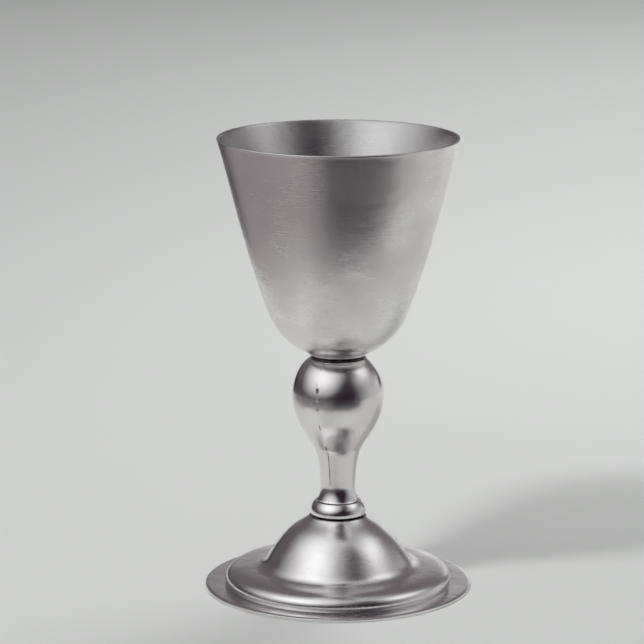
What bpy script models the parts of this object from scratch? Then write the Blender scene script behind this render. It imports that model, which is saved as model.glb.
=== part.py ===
"""Communion chalice in turned, hollow-cast and soldered pewter.

Frame: metres, +Z up, origin at the centre of the foot's underside. The two cast halves of
the stem meet in an upright plane that stands SEAM_ANGLE away from the front (-Y).
Every outline is a list of (radius, height) points, turned about Z.
"""
from math import hypot, pi, radians

import bmesh
import bpy
from mathutils import Vector
from mathutils.geometry import interpolate_bezier

# Driving dimensions
HEIGHT = 0.216            # table to rim
RIM_RADIUS = 0.0569
FOOT_RADIUS = 0.0634
KNOP_RADIUS = 0.0217
NECK_RADIUS = 0.0082      # the waist of the baluster
RING_RADIUS = 0.0132
LIP_RADIUS = 0.0144       # edge of the collar under the bowl

# Heights above the table
BOWL_BASE = 0.1142
COLLAR_TOP = 0.1139
COLLAR_BASE = 0.1124
KNOP_TOP = 0.1114
KNOP_MIDDLE = 0.0949
NECK_HEIGHT = 0.0491
STEM_SHOULDER = 0.0417    # the stem's foot, which stands on the ring
RING_TOP = 0.0414
RING_BASE = 0.0351
CROWN_TOP = 0.0341        # flat top of the foot, under the ring
STEM_END = 0.0312
TIER_HEIGHT = 0.0092      # top of the foot's lower tier, beside the cove
BRIM_TOP = 0.0016

# Radii of the joints
MOUTH_RADIUS = 0.0090     # opening in the top of the stem
SPIGOT_RADIUS = 0.0090    # the stem's tail, inside the ring and the foot
RING_WAIST = 0.0109       # top of the ring, where the stem stands on it
BEAD_RADIUS = 0.0112      # the recessed solder under the ring
TIER_RADIUS = 0.0538      # where the tier comes down on the brim
BRIM_INNER_RADIUS = 0.0505
COLLAR_BORE = 0.0050
COLLAR_UNDERSIDE = 0.0122
STEM_BORE = 0.0058
PLUG_RADIUS = 0.0100

# Depths of the joints
BOSS_DEPTH = 0.0030       # the bowl's boss, inside the collar
SPIGOT_DEPTH = 0.0044     # the collar's spigot, inside the stem
MOUTH_DEPTH = 0.0047
STUB_HEIGHT = 0.0030      # the plug's stub, inside the stem

# Metal and joints
BOWL_WALL = 0.0013
STEM_WALL = 0.0022
FOOT_WALL = 0.0017
LIP_THICKNESS = 0.0006    # edge of the collar
PLUG_THICKNESS = 0.0012
FILLET = 0.0012           # height of the solder fillets inside the foot
EDGE = 0.0003             # bevels on turned edges
GAP = 0.0003              # clearance between pieces that touch
SOLDER = 0.0004           # thickness of the solder in a joint
SEAM_ANGLE = radians(27)

SEGMENTS = 48             # sides of a turned piece
CURVE_STEPS = 8           # points on one stretch of curve


# Outlines

def curve(start, start_handle, end_handle, end, steps=CURVE_STEPS):
    """One smooth stretch of outline, without its last point."""
    corners = [Vector((r, z)) for r, z in (start, start_handle, end_handle, end)]
    return [tuple(point) for point in interpolate_bezier(*corners, steps + 1)[:-1]]


def offset(outline, distance):
    """The outline moved sideways, towards the right of its direction of travel."""
    moved = []
    last = len(outline) - 1
    for index, (r, z) in enumerate(outline):
        before = outline[max(index - 1, 0)]
        after = outline[min(index + 1, last)]
        dr, dz = after[0] - before[0], after[1] - before[1]
        length = hypot(dr, dz)
        moved.append((r + distance * dz / length, z - distance * dr / length))
    return moved


def bowl_side():
    """Outside of the bowl, from the rim down to the middle of its base."""
    rim = (RIM_RADIUS, HEIGHT)
    shoulder = (0.0347, 0.1380)
    base = (LIP_RADIUS + 0.0004, BOWL_BASE)
    side = curve(rim, (0.0486, 0.1876), (0.0469, 0.1730), shoulder)
    bottom = curve(shoulder, (0.0306, 0.1262), (0.0264, 0.1197), base)
    return side + bottom + [base]


def stem_side():
    """Outside of the stem, from the top of the knop down to its foot."""
    top = (0.0124, KNOP_TOP)
    middle = (KNOP_RADIUS, KNOP_MIDDLE)
    waist = (0.0115, 0.0682)     # where the baluster turns into the neck
    neck = (NECK_RADIUS, NECK_HEIGHT)
    foot = (0.0104, STEM_SHOULDER)
    upper = curve(top, (0.0194, 0.1081), (KNOP_RADIUS, 0.0976), middle, 5)
    lower = curve(middle, (KNOP_RADIUS, 0.0836), (0.0190, 0.0800), waist, 6)
    shaft = curve(waist, (0.0098, 0.0656), (NECK_RADIUS, 0.0573), neck, 4)
    flare = curve(neck, (NECK_RADIUS, 0.0460), (0.0090, 0.0440), foot, 3)
    return upper + lower + shaft + flare + [foot]


def foot_side():
    """Outside of the foot, from the flat crown down over dome, cove and tier."""
    crown_edge = (RING_RADIUS, CROWN_TOP)
    dome_base = (0.0339, 0.0134)
    cove_end = (0.0405, TIER_HEIGHT)
    edge = (TIER_RADIUS, BRIM_TOP + GAP)
    dome = curve(crown_edge, (0.0185, 0.0289), (0.0225, 0.0312), dome_base)
    cove = curve(dome_base, (0.0352, 0.0114), (0.0368, TIER_HEIGHT), cove_end, 6)
    tier = curve(cove_end, (0.0470, 0.0089), (0.0550, 0.0090), edge)
    return dome + cove + tier + [edge]


# Solids

def new_object(mesh_data, name, material):
    """Close a mesh up, shade it smooth and put it in the scene."""
    bmesh.ops.remove_doubles(mesh_data, verts=mesh_data.verts, dist=1e-7)
    bmesh.ops.recalc_face_normals(mesh_data, faces=mesh_data.faces)
    mesh = bpy.data.meshes.new(name)
    mesh_data.to_mesh(mesh)
    mesh_data.free()
    mesh.shade_smooth()
    mesh.set_sharp_from_angle(angle=radians(30))
    mesh.materials.append(material)
    piece = bpy.data.objects.new(name, mesh)
    bpy.context.scene.collection.objects.link(piece)
    return piece


def turned(name, outline, material):
    """Turn a closed outline all the way round; points on the axis close it in a point."""
    mesh_data = bmesh.new()
    corners = [mesh_data.verts.new((r, 0, z)) for r, z in outline]
    ring = list(zip(corners, corners[1:] + corners[:1]))
    edges = [mesh_data.edges.new(pair) for pair in ring
             if pair[0].co.x > 0 or pair[1].co.x > 0]
    bmesh.ops.spin(
        mesh_data, geom=corners + edges, cent=(0, 0, 0), axis=(0, 0, 1),
        angle=2 * pi, steps=SEGMENTS, use_merge=True)
    return new_object(mesh_data, name, material)


def turned_half(name, outline, heading, material):
    """Half a turned piece: its cut faces stand clear of the solder in the seam."""
    mesh_data = bmesh.new()
    corners = [mesh_data.verts.new((r, 0, z)) for r, z in outline]
    edges = [mesh_data.edges.new(pair) for pair in zip(corners, corners[1:] + corners[:1])]
    bmesh.ops.spin(
        mesh_data, geom=corners + edges, cent=(0, 0, 0), axis=(0, 0, 1),
        angle=pi, steps=SEGMENTS // 2)
    everything = mesh_data.verts[:] + mesh_data.edges[:] + mesh_data.faces[:]
    cut = bmesh.ops.bisect_plane(
        mesh_data, geom=everything, plane_co=(0, SOLDER / 2 + GAP, 0),
        plane_no=(0, 1, 0), clear_inner=True)
    cut_edges = [item for item in cut["geom_cut"] if isinstance(item, bmesh.types.BMEdge)]
    caps = bmesh.ops.holes_fill(mesh_data, edges=cut_edges)["faces"]
    bmesh.ops.triangulate(mesh_data, faces=caps)
    piece = new_object(mesh_data, name, material)
    piece.rotation_euler.z = heading
    return piece


def seam_heading():
    """Angle from +X to the seam's front edge."""
    return -pi / 2 - SEAM_ANGLE


def seam_strip(name, outline, turn, material):
    """The solder between the halves: the wall's outline, as thick as the joint."""
    mesh_data = bmesh.new()
    section = mesh_data.faces.new(
        [mesh_data.verts.new((r, -SOLDER / 2, z)) for r, z in outline])
    swept = bmesh.ops.extrude_face_region(mesh_data, geom=[section], use_keep_orig=True)
    moved = [item for item in swept["geom"] if isinstance(item, bmesh.types.BMVert)]
    bmesh.ops.translate(mesh_data, verts=moved, vec=(0, SOLDER, 0))
    ends = [face for face in mesh_data.faces if len(face.verts) > 4]
    bmesh.ops.triangulate(mesh_data, faces=ends)
    piece = new_object(mesh_data, name, material)
    piece.rotation_euler.z = seam_heading() + turn
    return piece


# Materials

def metal(name, colour, roughness):
    material = bpy.data.materials.new(name)
    material.use_nodes = True
    shader = material.node_tree.nodes["Principled BSDF"]
    shader.inputs["Base Color"].default_value = (*colour, 1.0)
    shader.inputs["Roughness"].default_value = roughness
    shader.inputs["Metallic"].default_value = 1.0
    return material


# Sub-parts

def make_bowl(pewter):
    """Cup with a thin plain rim, and a boss under it that drops into the collar."""
    outside = bowl_side()
    inside = offset(outside, BOWL_WALL)[1:]
    inside.insert(0, (RIM_RADIUS - BOWL_WALL, HEIGHT))
    inside[-1] = (inside[-1][0], BOWL_BASE + BOWL_WALL)
    boss_radius = COLLAR_BORE - GAP
    boss_base = BOWL_BASE - BOSS_DEPTH
    boss = [(boss_radius, BOWL_BASE), (boss_radius, boss_base), (0, boss_base)]
    floor = [(0, BOWL_BASE + BOWL_WALL)]
    return turned("bowl", outside + boss + floor + inside[::-1], pewter)


def make_collar(pewter):
    """Turned ring with a thin lip, and a spigot that fits the stem's mouth."""
    lip_base = COLLAR_TOP - LIP_THICKNESS
    spigot = MOUTH_RADIUS - GAP
    spigot_base = COLLAR_BASE - SPIGOT_DEPTH
    outline = [
        (COLLAR_BORE, COLLAR_TOP), (LIP_RADIUS, COLLAR_TOP), (LIP_RADIUS, lip_base),
        (COLLAR_UNDERSIDE, COLLAR_BASE), (spigot, COLLAR_BASE), (spigot, spigot_base),
        (COLLAR_BORE, spigot_base)]
    return turned("bowl_collar", outline, pewter)


def solder_ring(name, inner, outer, base, height, material):
    """Bead of solder in a joint between two turned pieces."""
    top = base + height
    outline = [(inner, top), (outer - height / 4, top), (outer, base + height / 2),
               (outer - height / 4, base), (inner, base)]
    return turned(name, outline, material)


def stem_section():
    """The wall of the hollow stem, with the straight tail that passes through the ring."""
    outside = stem_side()
    inside = [(max(r, STEM_BORE), z) for r, z in offset(outside, STEM_WALL)]
    mouth_base = KNOP_TOP - MOUTH_DEPTH
    mouth = [(MOUTH_RADIUS, KNOP_TOP), (MOUTH_RADIUS, mouth_base)]
    cavity_top = mouth_base - FILLET
    cavity = [point for point in inside if NECK_HEIGHT < point[1] < cavity_top]
    tail = [(SPIGOT_RADIUS, STEM_SHOULDER), (SPIGOT_RADIUS, STEM_END),
            (STEM_BORE, STEM_END), (STEM_BORE, NECK_HEIGHT)]
    return outside + tail + cavity[::-1] + mouth[::-1]


def make_stem_halves(pewter):
    section = stem_section()
    turned_half("stem_half_left", section, seam_heading() + pi, pewter)
    turned_half("stem_half_right", section, seam_heading(), pewter)


def make_seam_solder(solder):
    section = stem_section()
    seam_strip("seam_solder_front", section, 0, solder)
    seam_strip("seam_solder_back", section, pi, solder)


def make_ring(pewter):
    """Ring moulding on the stem's tail, between the stem and the foot."""
    bore = SPIGOT_RADIUS + GAP
    top = (RING_WAIST, RING_TOP)
    edge = (RING_RADIUS, RING_BASE + EDGE)
    side = curve(top, (0.0118, 0.0393), (RING_RADIUS, 0.0378), edge, 5)
    base = [edge, (RING_RADIUS - EDGE, RING_BASE)]
    outline = [(bore, RING_TOP)] + side + base + [(bore, RING_BASE)]
    return turned("stem_ring", outline, pewter)


def make_foot_dome(pewter):
    """Hollow foot: flat crown with a hole for the stem, dome, cove and tier."""
    bore = SPIGOT_RADIUS + GAP
    outside = foot_side()
    inside = offset(outside, FOOT_WALL)
    inside[0] = (COLLAR_UNDERSIDE, CROWN_TOP - FOOT_WALL)
    inside[-1] = (TIER_RADIUS - FOOT_WALL, BRIM_TOP + GAP)
    outline = [(bore, CROWN_TOP)] + outside + inside[::-1]
    outline.append((bore, CROWN_TOP - FOOT_WALL))
    return turned("foot_dome", outline, pewter)


def make_foot_brim(pewter):
    """Flat ring that the chalice stands on, thinner at its outer edge."""
    outline = [
        (BRIM_INNER_RADIUS, BRIM_TOP), (FOOT_RADIUS - 4 * EDGE, BRIM_TOP),
        (FOOT_RADIUS - EDGE, BRIM_TOP - EDGE), (FOOT_RADIUS, BRIM_TOP - 2 * EDGE),
        (FOOT_RADIUS, EDGE), (FOOT_RADIUS - EDGE, 0.0), (BRIM_INNER_RADIUS, 0.0)]
    return turned("foot_brim", outline, pewter)


def make_stem_plug(pewter):
    """Disc inside the foot that closes the end of the hollow stem."""
    disc_top = STEM_END - GAP
    disc_base = disc_top - PLUG_THICKNESS
    stub_radius = STEM_BORE - GAP
    stub_top = STEM_END + STUB_HEIGHT
    outline = [(0, stub_top), (stub_radius, stub_top), (stub_radius, disc_top),
               (PLUG_RADIUS, disc_top), (PLUG_RADIUS, disc_base), (0, disc_base)]
    return turned("stem_plug", outline, pewter)


def make_brim_solder(solder):
    """Fillet in the corner between the brim and the inside of the tier."""
    inner = BRIM_INNER_RADIUS + GAP
    outer = TIER_RADIUS - FOOT_WALL - GAP
    base = BRIM_TOP + GAP
    outline = [(outer - EDGE, base + FILLET), (inner, base), (outer, base)]
    return turned("brim_solder", outline, solder)


def make_plug_solder(solder):
    """Fillet that holds the stem's plug under the crown of the foot."""
    inner = SPIGOT_RADIUS + GAP
    top = CROWN_TOP - FOOT_WALL - GAP
    outline = [(inner, top), (PLUG_RADIUS + FILLET, top), (PLUG_RADIUS, STEM_END),
               (inner, STEM_END)]
    return turned("plug_solder", outline, solder)


def main():
    for old in list(bpy.data.objects):
        bpy.data.objects.remove(old)
    bright = metal("bright_pewter", (0.74, 0.72, 0.73), 0.25)
    satin = metal("satin_pewter", (0.72, 0.70, 0.70), 0.38)
    solder = metal("solder", (0.25, 0.24, 0.25), 0.50)
    bead_bore = MOUTH_RADIUS + GAP
    make_bowl(satin)
    make_collar(bright)
    solder_ring("collar_solder", bead_bore, COLLAR_UNDERSIDE, KNOP_TOP + GAP, SOLDER, solder)
    make_stem_halves(bright)
    make_seam_solder(solder)
    make_ring(bright)
    solder_ring("ring_solder", bead_bore, BEAD_RADIUS, CROWN_TOP + GAP, SOLDER, solder)
    make_foot_dome(bright)
    make_stem_plug(bright)
    make_plug_solder(solder)
    make_foot_brim(bright)
    make_brim_solder(solder)


main()
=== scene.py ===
"""Looks of the pewter communion chalice: finely turned pieces, cast stem halves and solder.

Metres, +Z up, in the CAD model's frame. The viewer's front is -Y; an azimuth is an angle
about Z from that front, positive to the viewer's right. Outlines are (radius, height) points.
"""

from math import cos, pi, radians, sin

import bmesh
import bpy
import numpy as np
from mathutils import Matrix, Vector


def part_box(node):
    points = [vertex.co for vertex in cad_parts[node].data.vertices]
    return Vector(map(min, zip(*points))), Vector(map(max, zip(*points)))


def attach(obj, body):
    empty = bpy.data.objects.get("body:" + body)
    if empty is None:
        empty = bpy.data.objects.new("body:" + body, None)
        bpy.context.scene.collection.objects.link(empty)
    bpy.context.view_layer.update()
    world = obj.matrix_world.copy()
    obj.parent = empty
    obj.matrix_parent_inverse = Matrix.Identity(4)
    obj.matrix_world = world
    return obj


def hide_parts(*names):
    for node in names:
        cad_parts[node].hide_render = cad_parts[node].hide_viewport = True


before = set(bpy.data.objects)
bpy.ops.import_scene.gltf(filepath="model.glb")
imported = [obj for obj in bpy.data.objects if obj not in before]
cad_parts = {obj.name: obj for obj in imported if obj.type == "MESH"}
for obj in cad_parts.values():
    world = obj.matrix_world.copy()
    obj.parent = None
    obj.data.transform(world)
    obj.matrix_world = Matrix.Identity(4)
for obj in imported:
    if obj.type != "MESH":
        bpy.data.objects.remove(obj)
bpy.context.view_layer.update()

MM = 0.001
SEAM_AZIMUTH = radians(-27)
SEAM_WIDTH = 0.4 * MM     # the solder that shows between the stem's halves
HAIRLINE = 0.008 * MM     # clearance between the halves and that solder
COLLAR_JOINT = 111.7 * MM    # height of the groove under the bowl's collar
FOOT_JOINT = 34.6 * MM       # height of the groove under the ring
GROOVE_SHADE_SPREAD = 0.5 * MM       # how far the painted shade in a groove spreads
TAIL_HOLE = 9.05             # radius of the hole for the stem's tail, in millimetres
SAME_PLACE = 2e-7            # points of a mesh nearer than this are joined
SHARP_EDGE = radians(40)     # edges that turn by more than this are shaded sharp

CAMERA_LENS = 176.1          # millimetres, on a sensor 36 mm wide
CAMERA_PLACE = (0.0, -1.4523, 0.4400)
CAMERA_DOWN = 12.123         # degrees below the level
CAMERA_TURN = 0.3017         # degrees to the viewer's left
LIT_POINT = Vector((0, 0, 0.10))    # in the stem; the cards and the key light face it
ROOM_LIGHT = 0.022
PURPLISH = (1.0, 0.55, 0.93)
PALE = (0.98, 1.0, 0.99)
WARM = (1.0, 0.93, 0.93)


# Camera, floor and light

def direction(azimuth, elevation):
    """Unit vector for an azimuth and an elevation in degrees."""
    turn, rise = radians(azimuth), radians(elevation)
    return Vector((sin(turn) * cos(rise), -cos(turn) * cos(rise), sin(rise)))


def make_camera():
    """Long lens a metre and a half away, looking slightly down."""
    data = bpy.data.cameras.new("camera")
    data.lens = CAMERA_LENS
    data.sensor_width = 36.0
    camera = bpy.data.objects.new("camera", data)
    camera.location = CAMERA_PLACE
    camera.rotation_euler = (radians(90 - CAMERA_DOWN), 0.0, radians(CAMERA_TURN))
    bpy.context.scene.collection.objects.link(camera)
    bpy.context.scene.camera = camera


def plain_material(name, colour):
    """Matt paper or paint."""
    material = bpy.data.materials.new(name)
    material.use_nodes = True
    shader = material.node_tree.nodes["Principled BSDF"]
    shader.inputs["Base Color"].default_value = (*colour, 1.0)
    shader.inputs["Roughness"].default_value = 0.9
    shader.inputs["Specular IOR Level"].default_value = 0.0
    return material


def glowing_material(name, brightness, colour, fades=()):
    """A glowing wall, or with fades a card of light that adds to whatever lies behind it.

    The fades are the shares of the card's width (left, right) and height (down, up) over
    which the light dies away to nothing at that side.
    """
    material = bpy.data.materials.new(name)
    material.use_nodes = True
    tree = material.node_tree
    tree.nodes.clear()
    glow = tree.nodes.new("ShaderNodeEmission")
    glow.inputs["Color"].default_value = (*colour, 1.0)
    glow.inputs["Strength"].default_value = brightness
    output = tree.nodes.new("ShaderNodeOutputMaterial")
    if not fades:
        tree.links.new(glow.outputs[0], output.inputs["Surface"])
        return material
    place = tree.nodes.new("ShaderNodeTexCoord")
    split = tree.nodes.new("ShaderNodeSeparateXYZ")
    tree.links.new(place.outputs["UV"], split.inputs[0])
    level = None
    for axis, edge, inward, fade in zip((0, 0, 1, 1), (0, 1, 0, 1), (1, -1, 1, -1), fades):
        side = tree.nodes.new("ShaderNodeMapRange")
        side.interpolation_type = "SMOOTHSTEP"
        side.inputs["From Min"].default_value = edge
        side.inputs["From Max"].default_value = edge + inward * fade
        side.inputs["To Max"].default_value = 1.0 if level else brightness
        tree.links.new(split.outputs[axis], side.inputs["Value"])
        if level:
            both = tree.nodes.new("ShaderNodeMath")
            both.operation = "MULTIPLY"
            tree.links.new(level, both.inputs[0])
            tree.links.new(side.outputs[0], both.inputs[1])
            level = both.outputs[0]
        else:
            level = side.outputs[0]
    tree.links.new(level, glow.inputs["Strength"])
    clear = tree.nodes.new("ShaderNodeBsdfTransparent")
    joined = tree.nodes.new("ShaderNodeAddShader")
    tree.links.new(glow.outputs[0], joined.inputs[0])
    tree.links.new(clear.outputs[0], joined.inputs[1])
    tree.links.new(joined.outputs[0], output.inputs["Surface"])
    return material


def stage_object(name, corners, material, camera):
    """A flat card or floor: the camera sees it, or else only the metal's reflections do."""
    mesh = bpy.data.meshes.new(name)
    mesh.from_pydata([tuple(c) for c in corners], [], [list(range(len(corners)))])
    layer = mesh.uv_layers.new(name="card")
    for loop, place in zip(layer.data, ((0, 0), (1, 0), (1, 1), (0, 1))):
        loop.uv = place
    mesh.materials.append(material)
    item = bpy.data.objects.new(name, mesh)
    bpy.context.scene.collection.objects.link(item)
    item.visible_camera = camera
    item.visible_glossy = not camera
    item.visible_diffuse = camera
    item.visible_shadow = False
    return item


def card(name, azimuth, elevation, distance, sides, brightness, fades, colour=PALE):
    """A card of light square to the line from the stem to (azimuth, elevation).

    Its sides, left, right, down and up, are in multiples of its distance.
    """
    left, right, down, up = (side * distance for side in sides)
    away = direction(azimuth, elevation)
    across = direction(azimuth + 90, 0)
    upward = across.cross(away)
    centre = LIT_POINT + away * distance
    corners = [centre - across * left - upward * down, centre + across * right - upward * down,
               centre + across * right + upward * up, centre - across * left + upward * up]
    stage_object(name, corners, glowing_material(name, brightness, colour, fades), camera=False)


def floor_light(name, place, target, size, power):
    """A studio light, (width, height) in size, that only lights the floor."""
    data = bpy.data.lights.new(name, "AREA")
    data.shape = "RECTANGLE"
    data.size, data.size_y = size
    data.energy = power
    light = bpy.data.objects.new(name, data)
    light.location = place
    light.rotation_euler = (Vector(place) - Vector(target)).to_track_quat("Z", "Y").to_euler()
    light.visible_camera = False
    light.visible_glossy = False
    bpy.context.scene.collection.objects.link(light)


def make_room():
    """Dim purplish walls all round, seen only in the metal."""
    data = bmesh.new()
    bmesh.ops.create_icosphere(data, subdivisions=4, radius=4.0)
    bmesh.ops.reverse_faces(data, faces=data.faces)
    mesh = bpy.data.meshes.new("room")
    data.to_mesh(mesh)
    data.free()
    mesh.materials.append(glowing_material("room", ROOM_LIGHT, PURPLISH))
    room = bpy.data.objects.new("room", mesh)
    bpy.context.scene.collection.objects.link(room)
    room.visible_camera = False
    room.visible_diffuse = False
    room.visible_shadow = False


def make_stage():
    """A pale sheet to stand on; its edges and the dim room show only in the metal."""
    scene = bpy.context.scene
    scene.view_settings.view_transform = "Standard"
    world = bpy.data.worlds.new("studio")
    scene.world = world
    world.use_nodes = True
    background = world.node_tree.nodes["Background"]
    background.inputs["Color"].default_value = (0.985, 1.0, 0.985, 1.0)
    background.inputs["Strength"].default_value = 0.25
    world.cycles_visibility.glossy = False
    reach = 12.0
    wide = [(-reach, -reach, 0), (reach, -reach, 0), (reach, reach, 0), (-reach, reach, 0)]
    stage_object("floor", wide, plain_material("paper", (0.83, 0.84, 0.83)), camera=True)
    sheet = [(-0.24, -0.06, 0), (-0.17, -0.165, 0), (-0.055, -0.212, 0), (0.055, -0.213, 0),
             (0.23, -0.18, 0), (0.90, -0.14, 0), (0.90, 0.95, 0), (-0.30, 0.95, 0),
             (-0.27, 0.30, 0), (-0.26, 0.10, 0)]
    stage_object("paper_sheet", sheet, plain_material("sheet", (0.97, 0.97, 0.96)), camera=False)
    make_room()
    card("window", -65, 56, 0.35, (1.60, 2.01, 1.23, 1.88), 1.50, (0.62, 0.61, 0.57, 0.57))
    card("right_window", 85, 40, 0.70, (1.01, 0.85, 0.45, 0.72), 1.02, (0.70, 0.53, 0.55, 0.59))
    card("ceiling", 180, 80, 1.0, (1.90, 0.81, 0.62, 0.65), 0.52, (0.43, 0.66, 0.08, 0.44))
    card("side_wall", 90, 0, 0.90, (1.20, 1.19, 0.45, 0.36), 0.49, (0.56, 0.18, 0.54, 0.31))
    card("left_wall", -75, -5, 0.90, (3.08, 2.36, 0.28, 1.60), 0.42, (0.42, 0.48, 0.62, 0.08),
         WARM)
    card("back_wall", 180, 35, 1.0, (3.12, 3.80, 0.54, 0.69), 0.14, (0.20, 0.70, 0.25, 0.08),
         WARM)
    card("backdrop", 165, 2, 0.95, (0.33, 0.77, 0.24, 0.29), 0.77, (0.16, 0.70, 0.36, 0.28))
    floor_light("key", LIT_POINT + direction(-50, 50) * 1.2, LIT_POINT, (0.16, 0.16), 5.1)
    floor_light("fill", (0.64, 1.60, 1.59), (0.64, 1.60, 0.0), (1.0, 1.0), 11.9)
    floor_light("side", (0.30, 0.58, 0.90), (0.30, 0.58, 0.0), (0.5, 0.5), 2.45)


# Outlines

def curve(start, start_handle, end_handle, end, spacing):
    """Evenly drawn stretch of outline, without its last point; sizes in millimetres."""
    corners = np.array([start, start_handle, end_handle, end], float) * MM
    reach = np.linalg.norm(np.diff(corners, axis=0), axis=1).sum()
    t = np.arange(0, 1, 1 / max(3, round(reach / (spacing * MM))))[:, None]
    return ((1 - t) ** 3 * corners[0] + 3 * (1 - t) ** 2 * t * corners[1]
            + 3 * (1 - t) * t ** 2 * corners[2] + t ** 3 * corners[3])


def points(*pairs):
    """Outline points from pairs in millimetres."""
    return np.array(pairs, float) * MM


def normals(outline):
    """Unit normals to the right of the outline's direction of travel."""
    along = np.gradient(outline, axis=0)
    along /= np.linalg.norm(along, axis=1)[:, None]
    return np.stack([along[:, 1], -along[:, 0]], 1)


def rounded(corners, radius):
    """A closed outline with each corner turned into a small curve."""
    corners = np.asarray(corners, float)
    result = []
    for before, here, after in zip(np.roll(corners, 1, 0), corners, np.roll(corners, -1, 0)):
        to_before, to_after = before - here, after - here
        limit = 0.45 * min(np.linalg.norm(to_before), np.linalg.norm(to_after))
        cut = min(radius, limit)
        start = here + to_before / np.linalg.norm(to_before) * cut
        end = here + to_after / np.linalg.norm(to_after) * cut
        t = np.linspace(0, 1, 6)[:, None]
        result.append((1 - t) ** 2 * start + 2 * (1 - t) * t * here + t ** 2 * end)
    return np.concatenate(result)


# Solids

def grid_object(name, grid, faces, material):
    """An object from a grid of points, with points at the same place joined."""
    mesh = bpy.data.meshes.new(name)
    mesh.from_pydata(grid.reshape(-1, 3).tolist(), [], faces)
    mesh.materials.append(material)
    data = bmesh.new()
    data.from_mesh(mesh)
    bmesh.ops.remove_doubles(data, verts=data.verts, dist=SAME_PLACE)
    bmesh.ops.recalc_face_normals(data, faces=data.faces)
    data.to_mesh(mesh)
    data.free()
    mesh.shade_smooth()
    mesh.set_sharp_from_angle(angle=SHARP_EDGE)
    piece = bpy.data.objects.new(name, mesh)
    bpy.context.scene.collection.objects.link(piece)
    return piece


def sweep(outline, azimuths, relief=None):
    """Grid of points: the outline at each azimuth, pushed out by relief(azimuth, outline).

    Azimuths are one list, or a table with a row for each step and a column for each point.
    """
    turn = azimuths if azimuths.ndim == 2 else azimuths[:, None]
    rows = np.broadcast_to(outline, (len(turn), *outline.shape)).copy()
    if relief is not None:
        rows += relief(turn, outline)[:, :, None] * normals(outline)[None]
    radius, height = rows[:, :, 0], rows[:, :, 1]
    return np.stack([radius * np.sin(turn), -radius * np.cos(turn), height], 2)


def grid_faces(rows, along, closed=True):
    """Faces between pairs of rows. A row has along points, and ends where it starts if closed."""
    faces = []
    for row, following in rows:
        for j in range(along if closed else along - 1):
            k = (j + 1) % along
            faces.append((row * along + j, row * along + k,
                          following * along + k, following * along + j))
    return faces


def turned(name, outline, material, relief=None, azimuths=None, around=256, closed=True):
    """Turn an outline all the way round. An open outline runs from axis to axis."""
    if azimuths is None:
        azimuths = np.linspace(0, 2 * pi, around, endpoint=False)
    grid = sweep(outline, azimuths, relief)
    across, along = grid.shape[:2]
    rows = [(i, (i + 1) % across) for i in range(across)]
    return grid_object(name, grid, grid_faces(rows, along, closed), material)


def turned_part(name, outline, material, relief, azimuths):
    """Turn a closed outline through the given azimuths and cap both ends."""
    grid = sweep(outline, azimuths, relief)
    across, along = grid.shape[:2]
    faces = grid_faces([(i, i + 1) for i in range(across - 1)], along)
    faces.append(tuple(range(along)))
    faces.append(tuple(range((across - 1) * along, across * along)))
    return grid_object(name, grid, faces, material)


def finish_piece(piece, slot, *nodes):
    """Put a piece on the chalice's one body, in place of the CAD's nodes."""
    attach(piece, "root")
    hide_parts(*nodes)


# Materials

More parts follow.
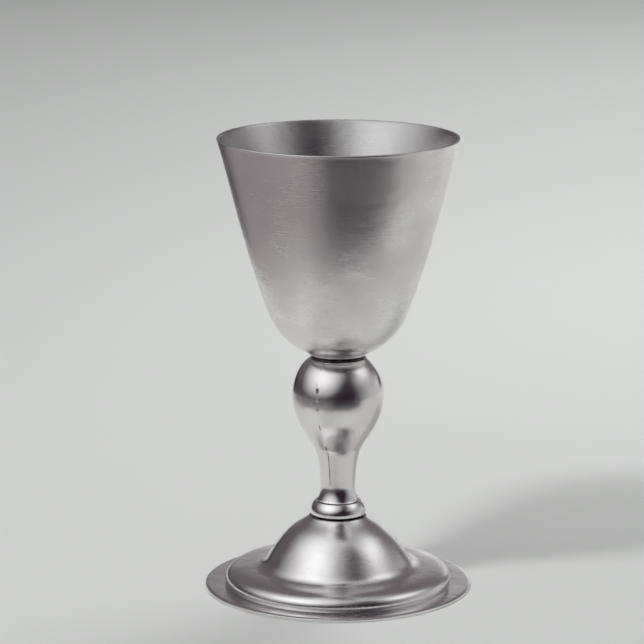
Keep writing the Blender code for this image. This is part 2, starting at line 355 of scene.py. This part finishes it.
class Metal:
    """Pewter shader built from turning lines, grain, scratches and tarnish."""

    def __init__(self, name, colour, roughness):
        self.material = bpy.data.materials.new(name)
        self.material.use_nodes = True
        self.tree = self.material.node_tree
        self.shader = self.tree.nodes["Principled BSDF"]
        self.shader.inputs["Metallic"].default_value = 1.0
        self.shader.inputs["Roughness"].default_value = roughness
        self.colour = colour
        self.place = self.node("ShaderNodeTexCoord").outputs["Object"]

    def node(self, kind, **settings):
        item = self.tree.nodes.new(kind)
        for key, value in settings.items():
            setattr(item, key, value)
        return item

    def link(self, source, target):
        self.tree.links.new(source, target)

    def maths(self, operation, *inputs):
        """Result of one operation on numbers or sockets."""
        item = self.node("ShaderNodeMath", operation=operation)
        for socket, value in zip(item.inputs, inputs):
            if isinstance(value, (int, float)):
                socket.default_value = value
            else:
                self.link(value, socket)
        return item.outputs[0]

    def noise(self, scale, detail=2.0, stretch=None, turn=None, vector=None, w=None):
        """Noise in 0 to 1; stretch and turn shape it before it is scaled."""
        item = self.node("ShaderNodeTexNoise")
        item.inputs["Scale"].default_value = scale
        item.inputs["Detail"].default_value = detail
        source = vector or self.place
        if stretch:
            mapping = self.node("ShaderNodeMapping")
            mapping.inputs["Scale"].default_value = stretch
            mapping.inputs["Rotation"].default_value = turn or (0, 0, 0)
            self.link(source, mapping.inputs["Vector"])
            source = mapping.outputs[0]
        self.link(source, item.inputs["Vector"])
        if w is not None:
            item.noise_dimensions = "4D"
            self.link(w, item.inputs["W"])
        return item.outputs["Fac"]

    def split_place(self):
        """Sockets for x, y and z."""
        split = self.node("ShaderNodeSeparateXYZ")
        self.link(self.place, split.inputs[0])
        return split.outputs

    def from_axis(self, x, y):
        """Distance from the turned axis."""
        squares = self.maths("ADD", self.maths("MULTIPLY", x, x), self.maths("MULTIPLY", y, y))
        return self.maths("SQRT", squares)

    def turning_lines(self, pitch, drift):
        """Fine lines that run round the axis and slowly change along their length."""
        x, y, z = self.split_place()
        join = self.node("ShaderNodeCombineXYZ")
        self.link(self.maths("MULTIPLY", self.from_axis(x, y), 1 / pitch), join.inputs[0])
        self.link(self.maths("MULTIPLY", z, 1 / pitch), join.inputs[1])
        self.link(self.maths("MULTIPLY", y, drift), join.inputs[2])
        return self.noise(1.0, 3.0, vector=join.outputs[0], w=self.maths("MULTIPLY", x, drift))

    def scratches(self, scale, turn, amount):
        """Sparse thin streaks, 1 on a scratch and 0 elsewhere."""
        streaks = self.noise(scale, 0.0, stretch=(1.0, 22.0, 22.0), turn=turn)
        return self.ramp(streaks, 0.0, 1.0, 1.0 - amount, 1.0 - amount + 0.05)

    def ramp(self, value, low, high, from_low=0.0, from_high=1.0):
        """From low to high while the value goes from from_low to from_high."""
        item = self.node("ShaderNodeMapRange")
        item.inputs["From Min"].default_value = from_low
        item.inputs["From Max"].default_value = from_high
        item.inputs["To Min"].default_value = low
        item.inputs["To Max"].default_value = high
        self.link(value, item.inputs["Value"])
        return item.outputs[0]

    def paint(self, darkening, contrast):
        """Base colour that darkens where the amount is high: tarnish on the pewter, painted shade
        in the open seam on the stem's neck, and patches on the solder.
        """
        mix = self.node("ShaderNodeMix", data_type="RGBA")
        dark = tuple(c * (1 - contrast) for c in self.colour)
        warm = (dark[0] * 1.03, dark[1] * 0.99, dark[2])
        mix.inputs["A"].default_value = (*self.colour, 1.0)
        mix.inputs["B"].default_value = (*warm, 1.0)
        self.link(darkening, mix.inputs["Factor"])
        self.link(mix.outputs["Result"], self.shader.inputs["Base Color"])

    def cover(self, amount, colour):
        """Lay another colour over the base colour, by an amount from 0 to 1."""
        mix = self.node("ShaderNodeMix", data_type="RGBA")
        base = self.shader.inputs["Base Color"].links[0].from_socket
        self.link(amount, mix.inputs["Factor"])
        self.link(base, mix.inputs["A"])
        mix.inputs["B"].default_value = (*colour, 1.0)
        self.link(mix.outputs["Result"], self.shader.inputs["Base Color"])

    def painted_groove_shade(self, height, spread):
        """Purplish brown painted shade in a groove, thinning out above and below a height."""
        away = self.maths("ABSOLUTE", self.maths("SUBTRACT", self.split_place()[2], height))
        patchy = self.maths("MULTIPLY", self.noise(600.0, 3.0), 1.6 * spread)
        amount = self.ramp(self.maths("SUBTRACT", away, patchy), 0.9, 0.0, 0.0, spread)
        # painted shade: the dark purplish colour stands in for the shade in the groove
        self.cover(amount, (0.085, 0.055, 0.07))

    def painted_shade_inside(self, radius, height, lean, depth):
        """Painted shade: a darker metal colour inside a flaring rim, nearer the axis than a leaning
        line.

        It fades out from half the depth down to the depth.
        """
        x, y, z = self.split_place()
        below = self.maths("SUBTRACT", height, z)
        edge = self.maths("SUBTRACT", radius, self.maths("MULTIPLY", below, lean))
        within = self.maths("LESS_THAN", self.from_axis(x, y), edge)
        near_rim = self.ramp(below, 1.0, 0.0, 0.5 * depth, depth)
        # painted shade inside the cup, laid on as a darker metal colour
        self.cover(self.maths("MULTIPLY", within, near_rim), (0.61, 0.595, 0.60))

    def bump(self, height, strength, distance, below=None):
        """Fine relief, on top of the relief below if there is one."""
        item = self.node("ShaderNodeBump")
        item.inputs["Strength"].default_value = strength
        item.inputs["Distance"].default_value = distance
        self.link(height, item.inputs["Height"])
        if below is not None:
            self.link(below, item.inputs["Normal"])
        return item.outputs[0]


def pewter(name, colour, roughness, line_pitch, line_depth, grain, wear, joint=None,
           inside=None):
    """Turned pewter: wear sets how many scratches show and how much the gloss varies.

    A joint is the height of a groove that gets painted shade, and how far that shade spreads.
    An inside is the cup's inner edge: radius, height, lean and depth of the painted shade within
    it.
    """
    metal = Metal(name, colour, roughness)
    lines = metal.turning_lines(line_pitch, 60.0)
    cloud = metal.noise(34.0, 6.0)
    fine = metal.noise(1300.0, 3.0)
    darkening = metal.ramp(cloud, 0.0, 1.0, 0.42, 0.72)
    metal.paint(darkening, 0.16 * wear)
    if joint:
        # painted shade in the joint's groove
        metal.painted_groove_shade(*joint)
    # painted shade inside the cup's rim
    if inside:
        metal.painted_shade_inside(*inside)
    marks = metal.scratches(55.0, (0.3, 0.9, 0.4), 0.235 * wear)
    more = metal.scratches(80.0, (1.2, 0.2, 2.1), 0.225 * wear)
    worn = metal.maths("MAXIMUM", marks, more)
    rough = metal.maths("ADD", metal.ramp(cloud, -0.05 * wear, 0.07 * wear, 0.3, 0.7), roughness)
    rough = metal.maths("ADD", rough, metal.ramp(lines, -0.035, 0.035, 0.3, 0.7))
    rough = metal.maths("ADD", rough, metal.maths("MULTIPLY", worn, 0.08))
    metal.link(rough, metal.shader.inputs["Roughness"])
    swell = metal.noise(130.0, 2.0)
    base = metal.bump(swell, 1.0, 0.00012 * wear)
    base = metal.bump(lines, 0.6, line_depth, base)
    base = metal.bump(fine, 0.5, grain, base)
    base = metal.bump(metal.maths("MULTIPLY", worn, -1.0), 0.5, 0.000012, base)
    metal.link(base, metal.shader.inputs["Normal"])
    return metal.material


SEAM_SHADE_HEIGHTS = ((0.0495, 0.0515), (0.0690, 0.0712))    # heights where the seam opens and closes, bounding the painted shade in it


def burnished_solder():
    """Solder of the stem's seam: burnished with the knop, but on the neck painted black as the
    shade in the open crack.
    """
    metal = Metal("seam_metal", (0.86, 0.848, 0.848), 0.22)
    height = metal.split_place()[2]
    above = metal.ramp(height, 0.0, 1.0, *SEAM_SHADE_HEIGHTS[0])
    below = metal.ramp(height, 1.0, 0.0, *SEAM_SHADE_HEIGHTS[1])
    lumps = metal.noise(420.0, 2.0)
    crack_shade = metal.ramp(lumps, 0.0, 1.0, 0.40, 0.50)
    # painted shade: the seam goes black on the neck, standing in for the shade inside the open
    # crack
    groove = metal.maths("MULTIPLY", metal.maths("MULTIPLY", above, below), crack_shade)
    specks = metal.ramp(metal.noise(260.0, 2.0), 0.0, 1.0, 0.60, 0.66)
    metal.paint(metal.maths("MAXIMUM", groove, specks), 0.92)
    # painted shade in the groove under the collar
    metal.painted_groove_shade(COLLAR_JOINT, GROOVE_SHADE_SPREAD)
    metal.link(metal.bump(lumps, 0.5, 0.00003), metal.shader.inputs["Normal"])
    return metal.material


def painted_shade_solder():
    """Soft solder, grey and grainy, its colour painted dark as the shade in the grooves it fills,
    and darker in its pits.
    """
    # painted shade: the dark colour stands in for the shade under the collar, under the ring and at
    # the brim
    metal = Metal("solder_painted_shade", (0.22, 0.20, 0.21), 0.45)
    lumps = metal.noise(700.0, 3.0)
    metal.paint(metal.ramp(lumps, 0.0, 1.0, 0.40, 0.65), 0.55)
    metal.link(metal.ramp(lumps, 0.35, 0.62), metal.shader.inputs["Roughness"])
    metal.link(metal.bump(lumps, 0.6, 0.00006), metal.shader.inputs["Normal"])
    return metal.material


# Marks in the metal

def dent(azimuths, outline, azimuth, height, length, width, tilt, depth):
    """A soft oval dent on an outline's outer side, as a push along the normal."""
    across = outline[:, 0] * (azimuths - radians(azimuth))
    rise = outline[:, 1] - height * MM
    turn = radians(tilt)
    along = (across * cos(turn) + rise * sin(turn)) / (length * MM / 2)
    over = (-across * sin(turn) + rise * cos(turn)) / (width * MM / 2)
    return -depth * MM * np.exp(-along ** 2 - over ** 2)


def nearest_turn(azimuths, azimuth):
    """Azimuths brought within half a turn of the given one."""
    return (azimuths - radians(azimuth) + pi) % (2 * pi) - pi + radians(azimuth)


def dents(marks, outer):
    """Relief from a list of dents, on the slice of the outline's points that is outside."""
    def relief(azimuths, outline):
        push = np.zeros((azimuths.shape[0], len(outline)))
        turns = np.broadcast_to(azimuths, push.shape)[:, outer]
        for mark in marks:
            push[:, outer] += dent(nearest_turn(turns, mark[0]), outline[outer], *mark)
        return push
    return relief


def fine_azimuths(around, centres, reach, step):
    """Even azimuths all round, with more of them beside each centre (degrees)."""
    turns = [np.linspace(-180, 180, around, endpoint=False)]
    for centre in centres:
        turns.append(np.arange(centre - reach, centre + reach, step))
    joined = np.unique(np.round(np.concatenate(turns), 4))
    keep = np.concatenate([[True], np.diff(joined) > step / 3])
    return np.radians(joined[keep])


# Pieces

# Marks are azimuth, height, length, width, tilt and depth, in degrees and millimetres.

BOWL_MARKS = (
    (-13.9, 130.0, 1.7, 0.55, -35, 0.16),
    (31.2, 135.8, 0.5, 0.5, 0, 0.12),
    (26.1, 191.5, 3.6, 0.7, 12, 0.05),
    (17.7, 189.5, 3.4, 0.5, 0, 0.05),
    (-20.6, 183.4, 2.0, 0.8, 20, 0.04),
    (9.0, 180.8, 2.6, 0.5, 6, 0.03),
)


def make_bowl(metal):
    """Thin tapered cup, closed below by its boss."""
    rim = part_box("bowl")[1]
    radius, top = rim[0] / MM, rim[2] / MM
    wall, base, floor = 1.3, 114.2, 115.6
    side = curve((radius, top), (48.6, 187.6), (46.9, 173.0), (34.7, 138.0), 0.8)
    bottom = curve((34.7, 138.0), (30.6, 126.2), (26.4, 119.7), (14.8, base), 0.7)
    lip = 0.35 * MM
    side[0] = (radius * MM, top * MM - lip)
    outside = np.concatenate([side, bottom])
    inside = outside + normals(outside) * wall * MM
    lowest, highest = floor * MM + 0.4 * MM, top * MM - 0.25 * MM
    inside = inside[(inside[:, 1] > lowest) & (inside[:, 1] < highest)]
    mouth = np.array([((radius - wall) * MM + lip * 0.3, top * MM),
                      (radius * MM - lip * 0.5, top * MM),
                      (radius * MM - lip * 0.12, top * MM - lip * 0.35)])
    boss = points((14.8, base), (4.7, base), (4.7, 111.2), (0, 111.2))
    well = points((0, floor), (5, floor), (10, floor + 0.05), (14.5, floor + 0.3))
    outline = np.concatenate([well, inside[::-1], mouth, outside, boss])
    first = len(well) + len(inside) + len(mouth)
    relief = dents(BOWL_MARKS, slice(first, first + len(outside)))
    azimuths = fine_azimuths(240, [mark[0] for mark in BOWL_MARKS[:3]], 2.0, 0.2)
    piece = turned("bowl_turned", outline, metal, relief, azimuths, closed=False)
    finish_piece(piece, "satin_pewter", "bowl")


def make_collar(metal):
    """Turned ring with a thin lip, and a spigot that drops into the stem's mouth."""
    low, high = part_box("bowl_collar")
    top, lip = high[2] / MM + 0.25, high[0] / MM
    base = 111.95
    corners = points((5.0, top), (lip, top), (lip, top - 0.75), (12.2, base), (8.9, base),
                     (8.9, low[2] / MM), (5.0, low[2] / MM))
    piece = turned("collar_turned", rounded(corners, 0.25 * MM), metal)
    finish_piece(piece, "bright_pewter", "bowl_collar")


def bead(name, node, radius, inner, base, height, metal):
    """A bead of solder, a little uneven round its edge."""
    t = np.linspace(-pi / 2, pi / 2, 9)
    edge = np.stack([radius + height * 0.5 * np.cos(t),
                     base + height * (0.5 + 0.5 * np.sin(t))], 1)
    outline = np.concatenate([edge * MM, points((inner, base + height), (inner, base))])

    def relief(azimuths, path):
        wave = np.sin(7 * azimuths + 1) + np.sin(17 * azimuths) + 0.6 * np.sin(41 * azimuths)
        push = np.zeros((azimuths.shape[0], len(path)))
        push[:, 1:8] = 0.04 * MM * wave
        return push

    piece = turned(name, outline, metal, relief)
    finish_piece(piece, "solder", node)


STEM_OUTLINE = (
    ((12.4, 111.4), (19.4, 108.1), (21.7, 97.6), (21.7, 94.9)),
    ((21.7, 94.9), (21.7, 83.6), (19.0, 80.0), (11.5, 68.2)),
    ((11.5, 68.2), (9.8, 65.6), (8.2, 57.3), (8.2, 49.1)),
    ((8.2, 49.1), (8.2, 46.6), (8.9, 44.6), (9.85, 42.4)),
)

STEM_MARKS = (
    # pits in the seam
    (-26.6, 110.4, 3.4, 0.55, 105, 0.35),
    (-28.6, 102.0, 1.0, 0.6, 60, 0.25),
    (-27.6, 99.6, 2.2, 0.9, 90, 0.45),
    (-27.0, 94.9, 1.2, 0.5, 90, 0.20),
    (-27.0, 89.5, 1.6, 0.4, 90, 0.18),
    (-27.0, 70.4, 2.4, 0.8, 80, 0.25),
    (-27.0, 63.3, 2.6, 0.5, 90, 0.30),
    (-27.0, 60.0, 5.5, 0.50, 90, 0.40),
    (-27.0, 54.5, 6.0, 0.45, 90, 0.40),
    # small dents in the knop and neck
    (9.5, 87.5, 4.0, 0.35, -6, 0.04),
    (33.4, 51.0, 1.0, 0.35, 0, 0.08),
    (59.6, 97.0, 1.2, 0.5, 80, 0.06),
    (49.5, 100.3, 0.9, 0.5, 60, 0.05),
)


def stem_wall():
    """Closed outline of the stem's wall, and the slice of its points that is outside."""
    wall, bore = 2.2, 5.8
    outside = np.concatenate([curve(*stretch, 0.45) for stretch in STEM_OUTLINE])
    foot = points((9.85, 42.4), (10.08, 42.1), (10.05, 41.72), (9.0, 41.6), (9.0, 31.2),
                  (bore, 31.2), (bore, 50.0))
    inside = outside + normals(outside) * wall * MM
    inside[:, 0] = np.maximum(inside[:, 0], bore * MM)
    hollow = inside[(inside[:, 1] < 105.4 * MM) & (inside[:, 1] > 50.5 * MM)][::4]
    mouth = points((9.0, 106.7), (9.0, 111.4))
    return np.concatenate([outside, foot, hollow[::-1], mouth]), slice(0, len(outside))


def make_stem(metal, seam_metal):
    """Two cast halves and the solder that fills the seam between them."""
    outline, outer = stem_wall()
    relief = dents(STEM_MARKS, outer)
    clear = np.arcsin((SEAM_WIDTH / 2 + HAIRLINE) / outline[:, 0])
    steps = np.linspace(0, 1, 72)[:, None]    # eased: closer together beside the seam
    eased = steps - np.sin(2 * pi * steps) / (2 * pi) * 0.55
    for side, start in (("right", SEAM_AZIMUTH), ("left", SEAM_AZIMUTH + pi)):
        azimuths = start + clear + eased * (pi - 2 * clear)
        piece = turned_part("stem_cast_" + side, outline, metal, relief, azimuths)
        finish_piece(piece, "bright_pewter", "stem_half_" + side)
    width = np.linspace(-0.5, 0.5, 7)[:, None] * SEAM_WIDTH
    for side, centre in (("front", SEAM_AZIMUTH), ("back", SEAM_AZIMUTH + pi)):
        azimuths = centre + np.arcsin(width / outline[:, 0])
        piece = turned_part("seam_fill_" + side, outline, seam_metal, relief, azimuths)
        finish_piece(piece, "solder", "seam_solder_" + side)


RING_MARKS = (
    (-28.3, 35.6, 1.4, 0.4, 90, 0.15),
    (61.0, 37.4, 0.8, 0.6, 0, 0.10),
)


def make_ring(metal):
    """Ring moulding under the stem, rounded above and nearly upright below."""
    low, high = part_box("stem_ring")
    radius, base, top = high[0] / MM, low[2] / MM, high[2] / MM
    side = np.concatenate([
        curve((10.9, top), (12.0, top - 1.2), (radius, top - 3.0), (radius, top - 5.1), 0.3),
        curve((radius, top - 5.1), (radius, base + 0.65), (radius, base + 0.5),
              (radius - 0.08, base + 0.3), 0.2)])
    edge = points((radius - 0.08, base + 0.3), (radius - 0.2, base + 0.1), (radius - 0.4, base))
    outline = np.concatenate([points((TAIL_HOLE, top), (10.6, top)), side, edge,
                              points((TAIL_HOLE, base))])
    relief = dents(RING_MARKS, slice(2, 2 + len(side)))
    azimuths = fine_azimuths(240, [mark[0] for mark in RING_MARKS], 4.0, 0.4)
    piece = turned("ring_turned", outline, metal, relief, azimuths)
    finish_piece(piece, "bright_pewter", "stem_ring")


FOOT_OUTLINE = (
    ((13.2, 34.3), (18.5, 28.9), (22.5, 31.2), (33.9, 13.4)),
    ((33.9, 13.4), (35.2, 11.4), (36.8, 9.2), (40.5, 9.2)),
    ((40.5, 9.2), (47.0, 8.9), (55.0, 9.0), (53.8, 1.7)),
)


def make_foot(metal):
    """Thin shell of dome, cove and tier."""
    wall = 1.7
    outside = np.concatenate([curve(*stretch, 0.5) for stretch in FOOT_OUTLINE])
    inside = outside + normals(outside) * wall * MM
    inside = inside[(inside[:, 1] > 1.72 * MM) & (inside[:, 1] < 32.3 * MM)]
    crown = points((TAIL_HOLE, 34.3), (12.9, 34.35))
    hem = points((53.8, 1.65), (52.15, 1.65))
    outline = np.concatenate([crown, outside, hem, inside[::-1], points((TAIL_HOLE, 32.4))])
    piece = turned("foot_turned", outline, metal, around=320)
    finish_piece(piece, "foot_pewter", "foot_dome")


def make_brim(metal):
    """Flat ring under the tier, with soft edges."""
    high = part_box("foot_brim")[1]
    radius, top = high[0] / MM, high[2] / MM
    corners = points((50.5, top), (62.2, top), (radius, top - 0.35), (radius, 0.0), (50.5, 0.0))
    piece = turned("brim_turned", rounded(corners, 0.35 * MM), metal, around=320)
    finish_piece(piece, "foot_pewter", "foot_brim")


def make_underside(metal, solder):
    """The plug inside the foot and the two hidden fillets."""
    plug = points((0, 34.2), (5.5, 34.2), (5.5, 31.1), (9.8, 31.1), (10.0, 30.9), (10.0, 29.9),
                  (9.8, 29.7), (0, 29.7))
    piece = turned("plug_turned", plug, metal, around=96, closed=False)
    finish_piece(piece, "foot_pewter", "stem_plug")
    fillet = rounded(points((9.1, 32.3), (11.5, 32.3), (10.2, 31.2), (9.1, 31.2)), 0.2 * MM)
    finish_piece(turned("plug_fillet", fillet, solder, around=128), "solder", "plug_solder")
    corner = rounded(points((50.7, 1.65), (52.0, 1.65), (51.7, 3.1)), 0.2 * MM)
    finish_piece(turned("brim_fillet", corner, solder, around=192), "solder", "brim_solder")


def main():
    make_camera()
    make_stage()
    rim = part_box("bowl")[1]
    # the satin cup gets painted shade inside its rim
    satin = pewter("satin_metal", (0.89, 0.875, 0.875), roughness=0.28, line_pitch=0.00022,
                   line_depth=0.000012, grain=0.00004, wear=1.0,
                   inside=(rim[0] - 0.65 * MM, rim[2], 0.277, 44 * MM))
    # painted shade in the grooves: under the collar on the stem, under the ring on the foot
    bright = pewter("bright_metal", (0.88, 0.868, 0.868), roughness=0.21, line_pitch=0.00030,
                    line_depth=0.00001, grain=0.000012, wear=0.8, joint=(COLLAR_JOINT, GROOVE_SHADE_SPREAD))
    foot = pewter("foot_metal", (0.88, 0.867, 0.867), roughness=0.22, line_pitch=0.00028,
                  line_depth=0.000008, grain=0.00003, wear=0.9, joint=(FOOT_JOINT, GROOVE_SHADE_SPREAD))
    # solder painted dark as the shade in the grooves it fills
    solder = painted_shade_solder()
    make_bowl(satin)
    make_collar(bright)
    bead("collar_bead", "collar_solder", 12.5, 9.0, 111.42, 0.5, solder)
    make_stem(bright, burnished_solder())
    make_ring(bright)
    bead("ring_bead", "ring_solder", 11.1, TAIL_HOLE, 34.38, 0.65, solder)
    make_foot(foot)
    make_brim(foot)
    make_underside(foot, solder)


main()
